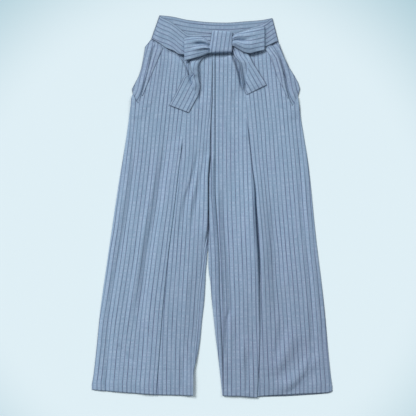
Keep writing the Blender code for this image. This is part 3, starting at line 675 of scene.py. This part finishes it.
def front_rows(opening, side, inseam, waist, hem, pleat, lifts, left_part, right_part, outer_is_left):
    """Rows of a front panel: its left part, the pleat, and the part that comes out from under."""
    last = opening[-1][0]
    low = middle(FRONT)
    rows = []
    for j in range(FRONT_STEPS + 1):
        height = mix(WAIST, FOOT, j / FRONT_STEPS)
        if height > last:
            at = min(height, opening[0][0])
            outer_x = straight(opening, at)
            edge_y = straight(opening, at, 2)
        else:
            outer_x = follow(side, height)
            edge_y = height
        parting = slit(height)
        inner_x = follow(inseam, height) - parting * ease(-70, 20, height) * outer_is_left
        fold = [follow(pleat, height), straight(pleat, height, 2), straight(pleat, height, 3)]
        lift, gap, crest = (follow(lifts, height, column) for column in (1, 2, 3))
        section = pleat_section(fold, lift, low)
        rise = section[0][1] - low
        left_x, right_x = (outer_x, inner_x) if outer_is_left else (inner_x, outer_x)
        left_stripes = stripe_number(left_part, height)
        right_stripes = stripe_number(right_part, height)
        out_x = fold[0]
        points = []
        left_count, right_count = (WIDE, NARROW) if outer_is_left else (NARROW, WIDE)
        start_x = section[0][0]
        for t in spaced(left_count, start_x - left_x)[:-1]:
            x = mix(left_x, start_x, t)
            under = start_x - fold[2] - 3
            ramp = ease(under - 26, under, x)
            high = low + min(rise, 2 * LAYER) * ramp
            high += max(rise - 2 * LAYER, 0) * hump(x - start_x, 20, 20)
            points.append((x, high, straight(left_stripes, x)))
        end_number = straight(left_stripes, start_x)
        back_number = straight(right_stripes, out_x)
        hidden = [(section[0], 0)]
        for a, b in zip(section, section[1:]):
            hidden.append((b, hidden[-1][1] + sqrt((b[0] - a[0]) ** 2 + (b[1] - a[1]) ** 2)))
        whole = hidden[-1][1] + max(out_x - section[-1][0], 0.01)
        for (x, z), far in hidden:
            points.append((x, z, mix(end_number, back_number, far / whole)))
        begin = section[-1][0]
        if out_x > begin + 0.5:
            for t in (0.5, 0.8):
                x = mix(begin, out_x, t)
                points.append((x, low, mix(end_number, back_number, (hidden[-1][1] + x - begin) / whole)))
            begin = out_x
        else:
            points.append((begin + 0.01, low, back_number))
            points.append((begin + 0.02, low, back_number))
            begin += 0.03
        for t in spaced(right_count, right_x - begin):
            x = mix(begin, right_x, t)
            past = x - out_x
            z = low + crest * ease(gap * 0.65, gap, past) * hump(max(past - gap, 0), 24, 24)
            points.append((x, z, straight(right_stripes, x)))
        row = []
        for x, z, number in points:
            from_side = abs(x - outer_x)
            from_seam = abs(x - inner_x)
            y = between_ends(height, x, waist, WAIST, 50, hem)
            if from_side < 8 and height > last:
                y = mix(edge_y, y, from_side / 8)
            beside = ease(222, 238, height) * ease(44, 26, from_side)
            up = max(beside, ease(WAIST - 15, WAIST, height))
            z += LAYER * up + bed(x, y)
            tuck = hump(from_seam, 12, 12) * ease(-60, -120, height) * outer_is_left
            z += front_relief(x, y) * (1 - 0.75 * tuck)
            if height < last:
                z = pressed(z, LOWEST + 0.3, from_side, 0.9)
            z -= seam_groove(0.15 if outer_is_left else 1.9, 0.35, from_seam, 2, height)
            if outer_is_left:
                z += parting * 4 * hump(from_seam - 1.5, 2.4, 18)
                z = pressed(z, LOWEST + 0.5, from_seam, 0.4, parting)
            row.append((x, y, z, number * STRIPE_PITCH, y))
        rows.append(row)
    return rows


front_cloth = striped_cotton("front_cloth", 0.965, 0.35, 0.14, (), (), True)
right_front_rows = front_rows(
    RIGHT_OPENING, RIGHT_SIDE, RIGHT_INSEAM, RIGHT_WAIST, RIGHT_HEM, RIGHT_PLEAT, RIGHT_LIFT,
    RIGHT_OUTER_STRIPES, RIGHT_INNER_STRIPES, True)
left_front_rows = front_rows(
    LEFT_OPENING, LEFT_SIDE, [(height, x + 0.35) for height, x in GUSSET_SEAM], LEFT_WAIST, LEFT_HEM,
    LEFT_PLEAT, LEFT_LIFT, LEFT_INNER_STRIPES, LEFT_OUTER_STRIPES, False)
sew_shell("right_front", "right_front_leg", right_front_rows, front_cloth, "front_cloth",
          flat=(0.325, 0.925), held="folded", rests_on=["right_back"])
sew_shell("left_front", "left_front_leg", left_front_rows, front_cloth, "front_cloth",
          flat=(0.345, 0.930), held="folded", rests_on=["left_back"])

# ---- Gussets ----
# A narrow strip is sewn in from the front waist down the left inner leg, and its partner down
# the right inner leg. They are cut from the same cloth and pressed round the inner edge.
def gusset_rows(outer_edge, seam_edge, top, foot, count, columns, first_stripe, open_below, ridge, groove):
    """Rows of a gusset between the leg's inner edge and the seam to the front."""
    rows = []
    for j in range(count + 1):
        height = mix(top, foot, j / count)
        parting = slit(height) * (top == WAIST)
        edge_x = follow(outer_edge, height) + 0.9 * parting
        seam_x = follow(seam_edge, height)
        width = abs(seam_x - edge_x)
        row = []
        for t in spaced(columns, width, min(EDGE_CELL, width * 0.2)):
            x = mix(edge_x, seam_x, t)
            far = abs(x - edge_x)
            z = middle(FRONT) + bed(x, height) + LAYER * ease(WAIST - 15, WAIST, height)
            z += ridge * hump(t - 0.55, 0.30, 0.25) * min(width / 7, 2.4)
            z += parting * 3.4 * hump(t - 0.34, 0.26, 0.4)
            z = pressed(z, LOWEST + 0.5, far, 0.4, parting)
            z += 0.3 * (1 + wander(x, height, 8, 60, 5.5))
            if height < open_below:
                z = pressed(z, LOWEST + bed(x, height), far, 0.9)
            z -= seam_groove(groove, 0.3, width - far, 1.7, height)
            row.append((x, height, z, x - seam_x + first_stripe * STRIPE_PITCH, height))
        rows.append(row)
    return rows


gusset_cloth = striped_cotton("gusset_cloth", 0.955, 0.35, 0.20, (), (), True)
centre_rows = gusset_rows(GUSSET_EDGE, GUSSET_SEAM, WAIST, FOOT, FRONT_STEPS, 12, 0, -100, 1, 1.6)
right_gusset_rows = gusset_rows(RIGHT_INNER_LEG, RIGHT_INSEAM, -63, -436, 110, 8, 0.5, -90, 0.3, 0.1)
right_gusset_rows = [row[::-1] for row in right_gusset_rows]
sew_shell("centre_strip", "centre_gusset", centre_rows, gusset_cloth, "gusset_cloth",
          flat=(0.032, 0.905), held="laid")
sew_shell("right_strip", "right_gusset", right_gusset_rows, gusset_cloth, "gusset_cloth",
          flat=(0.018, 0.375), held="laid")

# ---- Bands along the side openings ----
# Each slanted front edge is faced with a strip of the same cotton, turned to the right side and
# pressed. It is widest at the waist and narrows down the opening.
RIGHT_BAND = [
    (426.5, -146.6, -127, 413), (412, -149.2, -130.4, 403), (385, -157.2, -139, 384),
    (345, -167, -154.5, 348), (308, -176.1, -171, 309), (288, -182, -179.5, 288)]
LEFT_BAND = [
    (416, 153, 136, 409.5), (403.5, 161, 144, 401), (385, 173.2, 151.5, 385), (362, 179.8, 159.5, 362),
    (341, 185.2, 166.5, 341), (320, 188.5, 177, 320), (297, 193.5, 188.5, 298), (281, 198.4, 196, 281.5)]


def band_shape(x, y, far, width, outer_y):
    """Height and place in the yarn across an opening band, which follows the front below it."""
    z = middle(BELT) + bed(x, y) + front_relief(x, y) * 0.9
    z += 0.5 * hump(far - 0.5 * width, 0.4 * width, 0.4 * width)
    z -= 0.9 * hump(far, 0.8, 0.8) + 0.5 * hump(width - far, 0.8, 0.8)
    return z, far + 0.3 * STRIPE_PITCH


band_cloth = striped_cotton("band_cloth", 0.93, 0.6, 0.40, (4,), ())
right_band_rows = strip_rows(RIGHT_BAND, 56, 8, band_shape)
left_band_rows = [row[::-1] for row in strip_rows(LEFT_BAND, 56, 8, band_shape)]
sew_shell("right_band", "right_opening_band", right_band_rows, band_cloth, "opening_cloth",
          flat=(0.024, 0.145), held="folded")
sew_shell("left_band", "left_opening_band", left_band_rows, band_cloth, "opening_cloth",
          flat=(0.024, 0.145), held="folded")

# ---- Belt ----
# The belt is a straight doubled band of the same cotton, its stripe along it, sewn to the back
# waist. Its two ends come round the sides to the front and run into the knot.
# Stations along it: x and y of the upper edge, x and y of the lower edge, and its layer.
BACK_BELT = [
    (-136.6, 497.1, -158.2, 435.8, 0), (-109.3, 494.5, -125, 430.4, 0), (-57.3, 484.3, -60, 423, 0),
    (2.5, 478.7, 0, 417, 0), (36.3, 478, 36, 418.3, 0), (90, 481.5, 85, 420.1, 0),
    (127.3, 484.6, 120, 422.3, 0), (156.7, 489.9, 172.5, 429, 0)]
RIGHT_BELT = [
    (-136, 496.3, -157.6, 435.6, 1), (-131, 491.8, -151.8, 432.9, 1.6), (-119, 485.5, -137.5, 424.2, 3),
    (-109.6, 480.5, -117.9, 410.8, 3), (-94.8, 470.6, -100, 403.6, 3), (-74.8, 454.7, -81.5, 393.6, 3),
    (-60, 446.4, -60, 394.5, 3), (-20, 447, -20, 399.5, 3), (21.8, 448, 21.8, 402, 3)]
LEFT_BELT = [
    (22.2, 448, 22.2, 402, 3), (52, 449, 52, 401, 3), (80, 457, 80, 401, 3), (110, 466, 111.7, 402, 3),
    (129.9, 472, 141.6, 416, 3), (141, 478.5, 153, 421.3, 3), (151, 486.8, 166.5, 427.2, 1.6),
    (156.3, 489.6, 172, 429.2, 1)]
# Outlines of the loops that press on the belt: x, upper edge, lower edge.
RIGHT_LOOP = [
    (8, 428, 400), (-9, 429, 396.6), (-18, 436.5, 393), (-30, 440.5, 388.4), (-50, 439.5, 382.8),
    (-69.2, 437.6, 378.3)]
LEFT_LOOP = [
    (36, 441, 416), (52.9, 442, 415.5), (60, 447.5, 413), (69.3, 451.5, 407.2), (87.2, 456, 398.2),
    (98.7, 458.5, 396.4), (111.7, 461, 400), (133.4, 466.4, 404.8)]

# How far the belt and the left tail may swell where something presses on them.
BELT_UNDER_LOOP = 3.05
BELT_UNDER_TAIL = 0.6
TAIL_UNDER_LOOP = 1.5


def clear_of_loops(x, y):
    """How far a place lies outside both loops, 0 under them."""
    away = 1000
    for reaches in (RIGHT_LOOP, LEFT_LOOP):
        start, end = sorted((reaches[0][0], reaches[-1][0]))
        outside = max(start - x, x - end, y - follow(reaches, x), follow(reaches, x, 2) - y, 0)
        away = min(away, outside)
    return away


def along_belt(stations):
    """The stations with how far along the belt each lies put first."""
    far = 0
    table = [(far, *stations[0])]
    for a, b in zip(stations, stations[1:]):
        for k in (0, 2):
            far += 0.5 * (Vector(a[k:k + 2]) - Vector(b[k:k + 2])).length
        table.append((far, *b))
    return table


def belt_rows(stations, columns, step, lift, first_stripe, yarn=None):
    """Columns of points along a belt, its upper edge in the first row."""
    table = along_belt(stations)
    length = table[-1][0]
    count = round(length / step)
    across = []
    for t_along in spaced(count, length):
        far = t_along * length
        x1, y1, x2, y2, layer = (follow(table, far, column) for column in (1, 2, 3, 4, 5))
        width = sqrt((x2 - x1) ** 2 + (y2 - y1) ** 2)
        line = []
        for t in spaced(columns, width):
            x = mix(x1, x2, t)
            y = mix(y1, y2, t)
            z = middle(layer) + bed(x, y) + lift(x, y, t, width, length - far)
            place = yarn(y, t, width) if yarn else t * width
            line.append((x, y, z, place + first_stripe * STRIPE_PITCH, far))
        across.append(line)
    return [list(row) for row in zip(*across)]


def back_belt_lift(x, y, t, width, from_end):
    edge = hump(t * width, 1, 1)
    return 0.25 * (1 + wander(x, y, 40, 14, 2.2)) - 0.2 * edge


def front_belt_lift(x, y, t, width, from_end):
    """Crowned across, with soft draws that run in towards the knot."""
    crown = 1.3 * sin(pi * t) ** 0.6
    draw = wander(x * 0.3, y + 0.12 * x, 12, 7, 4.4)
    swell = 3.4 * hump(x + 84, 26, 18) * ease(0.25, 0.85, t)
    near_side = ease(-128, -105, x) * ease(150, 132, x)
    edge = 0.9 * hump(t * width, 0.8, 0.8) + 0.5 * hump((1 - t) * width, 0.8, 0.8)
    lift = (crown + draw * sin(pi * t) + swell + 2.1 - edge) * near_side
    under_tail = ease(40, 48, x) * ease(102, 92, x) * ease(426, 418, y)
    lift = mix(lift, min(lift, BELT_UNDER_TAIL), under_tail)
    return min(lift, BELT_UNDER_LOOP + 0.5 * clear_of_loops(x, y))


belt_cloth = striped_cotton("belt_cloth", 0.895, 0.6, 0.85, (2.5,), ())
back_belt_rows = belt_rows(BACK_BELT, 26, 3, back_belt_lift, 0.3)
right_belt_rows = belt_rows(RIGHT_BELT, 28, 2.4, front_belt_lift, 0.4)
left_belt_rows = belt_rows(LEFT_BELT, 28, 2.4, front_belt_lift, 0.4)
sew_shell("belt_back", "back_belt", back_belt_rows, belt_cloth, "belt_cloth",
          flat=(0.065, 0.331), held="laid")
sew_shell("belt_right", "right_belt_stretch", right_belt_rows, belt_cloth, "belt_cloth",
          flat=(0.065, 0.190), held="folded")
sew_shell("belt_left", "left_belt_stretch", left_belt_rows, belt_cloth, "belt_cloth",
          flat=(0.065, 0.160), held="folded")

# ---- Bow tails ----
# The belt's ends hang out of the knot, folded narrow where they leave it and opening to nearly
# the belt's full width at their straight-cut ends.
# Stations along them, as for the belt, from the knot outwards.
RIGHT_TAIL = [
    (-42, 404, -4, 404, 2.4), (-54, 392, -11, 395, 2.1), (-57, 374, -33, 373, 2.5),
    (-53.5, 355, -36.4, 356.5, 3.6), (-53, 344, -35.6, 343, 3.2), (-71.4, 337.5, -34.2, 330, 2.4),
    (-80, 322, -30.5, 312, 2.1), (-90, 302, -34, 294, 2.1), (-100, 283, -46, 270, 2.1),
    (-111.4, 263.1, -60.5, 243.1, 2.1)]
LEFT_TAIL = [
    (48, 416, 84, 414, 4), (54, 403, 88, 401, 4), (57.6, 391, 96.5, 391, 4.2), (70.9, 370, 107.3, 370, 3.2),
    (73.5, 349, 118.7, 352.8, 2.6), (78.7, 320.3, 130, 335, 2.1), (84.4, 299.5, 137, 324, 2.1),
    (90.1, 289.9, 141.6, 315.6, 2.1)]
TURNED_PLACE = 26      # place in the yarn at the open edge of a tail's turned part
# Where across a tail its fold lies: height and share of the width.
RIGHT_TAIL_FOLD = [(404, 0), (352, 0.05), (338, 0.48), (305, 0.72), (285, 1)]
LEFT_TAIL_FOLD = [(415, 0.95), (391, 0.85), (355, 0.44), (313, 0.1), (295, 0.02)]


def right_tail_lift(x, y, t, width, from_end):
    """The folded strip stands up along its left and falls away to the right."""
    fold_at = follow(RIGHT_TAIL_FOLD, y)
    strip = 9 * max(1 - max(t - fold_at, 0) / (1.03 - fold_at), 0) * ease(284, 325, y)
    strip *= ease(fold_at - 0.05, fold_at + 0.04, t) * ease(380, 356, y)
    groove = 1.4 * hump(t - fold_at + 0.06, 0.05, 0.03) * ease(290, 310, y)
    slack = 0.9 * hump(t - 0.2, 0.2, 0.3) + hump(t - 0.85, 0.12, 0.1) * ease(300, 262, y)
    press = 1.6 * ease(368, 392, y)
    under = max(front_relief(x, y) - press, 0) + mix(0.3, 1.1, ease(270, 310, y))
    return under + strip - groove + slack


def left_tail_lift(x, y, t, width, from_end):
    """The folded strip stands up at its outer edge, with a hollow between it and the open end."""
    fold_at = follow(LEFT_TAIL_FOLD, y)
    strong = ease(296, 325, y)
    fall = max(1 - t / max(fold_at, 0.05), 0) ** 1.7
    strip = 12.5 * fall * strong * ease(408, 372, y)
    over = 1.8 * ease(fold_at - 0.03, fold_at + 0.03, t) * mix(0.2, 1, strong)
    slack = 0.8 * hump(t - 0.6, 0.2, 0.2) - 0.8 * hump(from_end, 5, 5)
    lift = front_relief(x, y) + 0.3 + strip + over + slack
    return min(lift, TAIL_UNDER_LOOP + 0.5 * clear_of_loops(x, y))


def tail_yarn(folds):
    """Stripe lies along one edge in the folded strip and along the other edge elsewhere."""
    return lambda y, t, width: t * width if t < follow(folds, y) else TURNED_PLACE + (1 - t) * width


bow_cloth = striped_cotton("bow_cloth", 0.96, 0.5, 0.70, (2.5,), (4,))
right_tail_rows = belt_rows(RIGHT_TAIL, 40, 1.8, right_tail_lift, 0.5, tail_yarn(RIGHT_TAIL_FOLD))
left_tail_rows = belt_rows(LEFT_TAIL, 40, 1.8, left_tail_lift, 0.5, tail_yarn(LEFT_TAIL_FOLD))
sew_shell("tail_right", "right_bow_tail", right_tail_rows, bow_cloth, "bow_cloth",
          flat=(0.058, 0.180), held="folded", rests_on=["right_front"])
sew_shell("tail_left", "left_bow_tail", left_tail_rows, bow_cloth, "bow_cloth",
          flat=(0.058, 0.132), held="folded", rests_on=["left_front"])

# ---- Bow loops ----
# Each loop is the belt doubled back on itself and gathered into the knot, so its upper layer
# fans out from the pinch in a few soft pleats.
LOOP_RADIUS = 1.2
LOOP_BOTTOM = middle(LOOP) + 1.2   # middle of the lower layer, clear of the belt
LOOP_BULGE = 3                     # how far the far end's turn may stand out
LOOP_WIDTH = 60                    # width of the cloth gathered across a loop
LOOP_STEPS = 44                    # cells along each layer
LOOP_COLUMNS = 36
TURN_STEPS = 8


def loop_rows(reaches, outward, under_knot, folds, puff, first_stripe):
    """Rows from the upper edge to the lower; each goes out underneath and back on top."""
    start = reaches[0][0]
    end = reaches[-1][0]
    length = abs(end - start) - under_knot
    path = [(mix(start, end, k / LOOP_STEPS), 0, -1) for k in range(LOOP_STEPS + 1)]
    path += [(end, sin(pi * k / TURN_STEPS), -cos(pi * k / TURN_STEPS)) for k in range(1, TURN_STEPS)]
    path += [(mix(end, start, k / LOOP_STEPS), 0, 1) for k in range(LOOP_STEPS + 1)]
    columns = []
    far = 0
    for number, (x, bulge, level) in enumerate(path):
        reach = (abs(x - start) - under_knot) / length
        opened = ease(-0.02, 0.10, reach)
        top_y = follow(reaches, x)
        bottom_y = follow(reaches, x, 2)
        width = top_y - bottom_y
        column = []
        for t in spaced(LOOP_COLUMNS, width):
            lift = 0
            for at_knot, at_end, size, narrow, fade in folds:
                line = mix(at_knot, at_end, reach)
                spread = narrow * mix(0.6, 2, reach)
                lift += size * hump(t - line, spread, spread) * ease(fade + 0.15, fade - 0.3, reach)
            swell = puff * sin(pi * t) ** 0.7 * sin(pi * mix(0.28, 0.86, min(max(reach, 0), 1))) ** 1.2
            swell += 0.5 * wander(x, t * width, 16, 9, 6)
            rise = LOOP_RADIUS + 0.5 * max((swell + lift) * opened, 0)
            z = LOOP_BOTTOM + (1 + level) * rise
            y = mix(top_y, bottom_y, t) + 0.4 * wander(x, far, 15, 15, 9) * (not bulge)
            across = t * LOOP_WIDTH + first_stripe * STRIPE_PITCH
            column.append((x + outward * bulge * min(rise + 0.6, LOOP_BULGE), y, z + bed(x, y), across, far))
        columns.append(column)
        if number + 1 < len(path):
            far += max(abs(path[number + 1][0] - x), 0.7)
    return [list(row) for row in zip(*columns)]


# Folds: place across at the knot and at the far end, height, width, and how far out it reaches.
RIGHT_FOLDS = [
    (0.2, 0.16, 5, 0.13, 0.95), (0.46, 0.28, -9, 0.06, 0.6), (0.62, 0.56, 6.5, 0.09, 0.7),
    (0.86, 0.86, 2.5, 0.13, 0.85), (0.76, 0.72, -2.2, 0.05, 0.2), (0.05, 0.03, -6, 0.05, 0.6)]
LEFT_FOLDS = [
    (0.24, 0.18, 3.6, 0.15, 0.95), (0.5, 0.4, -6.5, 0.06, 0.5), (0.72, 0.62, 4.2, 0.14, 0.8),
    (0.86, 0.84, 1.6, 0.1, 0.85), (0.64, 0.6, -1.5, 0.05, 0.3), (0.05, 0.02, -3, 0.05, 0.5)]
right_loop_rows = loop_rows(RIGHT_LOOP, -1, 14, RIGHT_FOLDS, 3.6, 0.3)
left_loop_rows = loop_rows(LEFT_LOOP, 1, 14.5, LEFT_FOLDS, 3.2, 0.3)
sew_shell("loop_right", "right_bow_loop", right_loop_rows, bow_cloth, "bow_cloth",
          flat=(0.065, 0.165), held="gathered")
sew_shell("loop_left", "left_bow_loop", left_loop_rows, bow_cloth, "bow_cloth",
          flat=(0.065, 0.205), held="gathered")

# ---- Knot ----
# The belt passes once over the middle of the bow. Its stripe runs up and down, and a fold
# pressed into its right-hand side stands up as a paler strip.
# Across it: x and y of its lower end, then x and y of its upper end.
KNOT = [(-8, 396.8, 0, 456), (12, 397.4, 16, 455.4), (32, 398, 34, 454.2), (51.9, 398.6, 51.9, 452.2)]
KNOT_TOP = 16.8        # middle of the wall at the crown
KNOT_EDGE = 9.9        # and where its edges turn under
KNOT_STEPS = 40
KNOT_COLUMNS = 44


def knot_rows():
    """Rows over the knot, a soft box whose sides and ends fall away to the layers below."""
    columns = []
    for j in range(KNOT_STEPS + 1):
        s = j / KNOT_STEPS
        place = s * (len(KNOT) - 1)
        k = min(int(place), len(KNOT) - 2)
        x1, y1, x2, y2 = (mix(KNOT[k][c], KNOT[k + 1][c], place - k) for c in range(4))
        span = y2 - y1
        column = []
        for t in spaced(KNOT_COLUMNS, span):
            across = mix(x1, x2, t) - mix(KNOT[0][0], KNOT[0][2], t)
            ends = (1 - abs(2 * t - 1) ** 11) ** 0.5 if 0 < t < 1 else 0
            sides = (1 - abs(2 * s - 1) ** 9) ** 0.5 if 0 < s < 1 else 0
            edge = KNOT_EDGE - 2.4 * hump(t, 0.03, 0.03)
            z = edge + (KNOT_TOP - edge) * ends * mix(0.50, 1, sides)
            z -= (2.6 * hump(across - 2, 9, 4) + 1.4 * hump(across - 9, 1.6, 2.6)) * ends
            z += hump(across - 4.5, 2.4, 2) * ends
            z += 0.5 * wander(across, t * span, 12, 40, 7) * ends
            x = mix(x1, x2, t)
            y = mix(y1, y2, t)
            column.append((x, y, z, across + 0.45 * STRIPE_PITCH, t * span))
        columns.append(column[::-1])
    return [list(row) for row in zip(*columns)]


sew_shell("knot", "bow_knot", knot_rows(), bow_cloth, "bow_cloth", flat=(0.066, 0.066), held="folded")

# ---- Studio ----
# A pale floor, darkened with painted shade away from a painted pool of light, a broad soft window
# at the upper left with a fainter one at the upper right, and a camera straight above.
floor_shape = bmesh.new()
bmesh.ops.create_grid(floor_shape, x_segments=1, y_segments=1, size=30)
floor_mesh = bpy.data.meshes.new("floor")
floor_shape.to_mesh(floor_mesh)
floor_shape.free()
for vertex in floor_mesh.vertices:
    vertex.co.z = -0.0004
floor = bpy.data.objects.new("floor", floor_mesh)
bpy.context.collection.objects.link(floor)
paper = bpy.data.materials.new("floor_paper")
paper.use_nodes = True
paper_shader = paper.node_tree.nodes["Principled BSDF"]
spot = Tone(paper.node_tree).node("ShaderNodeTexCoord", {}, {}, 3)
# The floor's own colour, and the painted shade it fades to away from a painted pool of light.
PAPER = (0.735, 0.860, 0.915, 1)
PAINTED_FALLOFF_TONE = (0.37, 0.57, 0.65, 1)
LIGHT_POOL_CENTRE = (-0.03, -0.07, 0)
from_light_pool = spot.node("ShaderNodeVectorMath", {"operation": "DISTANCE"}, {0: spot, 1: LIGHT_POOL_CENTRE}, 1)
paper_tone = from_light_pool.step(0.56, 0.95).blend(PAPER, PAINTED_FALLOFF_TONE)
paper.node_tree.links.new(paper_tone.socket, paper_shader.inputs["Base Color"])
paper_shader.inputs["Roughness"].default_value = 0.95
paper_shader.inputs["Specular IOR Level"].default_value = 0.1
floor_mesh.materials.append(paper)

# Soft windows: energy and the way each one's light travels.
WINDOWS = [(2.95, (0.70, -0.66, -0.86)), (0.80, (-0.80, -0.60, -0.80))]
for energy, way in WINDOWS:
    sun_data = bpy.data.lights.new("window", "SUN")
    sun_data.energy = energy
    sun_data.angle = radians(26)
    sun_data.color = (1, 0.970, 0.945)
    sun = bpy.data.objects.new("window", sun_data)
    sun.rotation_euler = Vector(way).to_track_quat("-Z", "Y").to_euler()
    bpy.context.collection.objects.link(sun)
world = bpy.data.worlds.new("room")
world.use_nodes = True
world.node_tree.nodes["Background"].inputs["Color"].default_value = (0.84, 0.93, 1, 1)
world.node_tree.nodes["Background"].inputs["Strength"].default_value = 0.26
bpy.context.scene.world = world
bpy.context.scene.view_settings.view_transform = "Standard"

camera_data = bpy.data.cameras.new("camera")
camera_data.lens = 80
camera_data.sensor_width = 36
camera_data.clip_end = 20
camera = bpy.data.objects.new("camera", camera_data)
camera.location = (-0.0105, -0.0036, 2.404)
bpy.context.collection.objects.link(camera)
bpy.context.scene.camera = camera
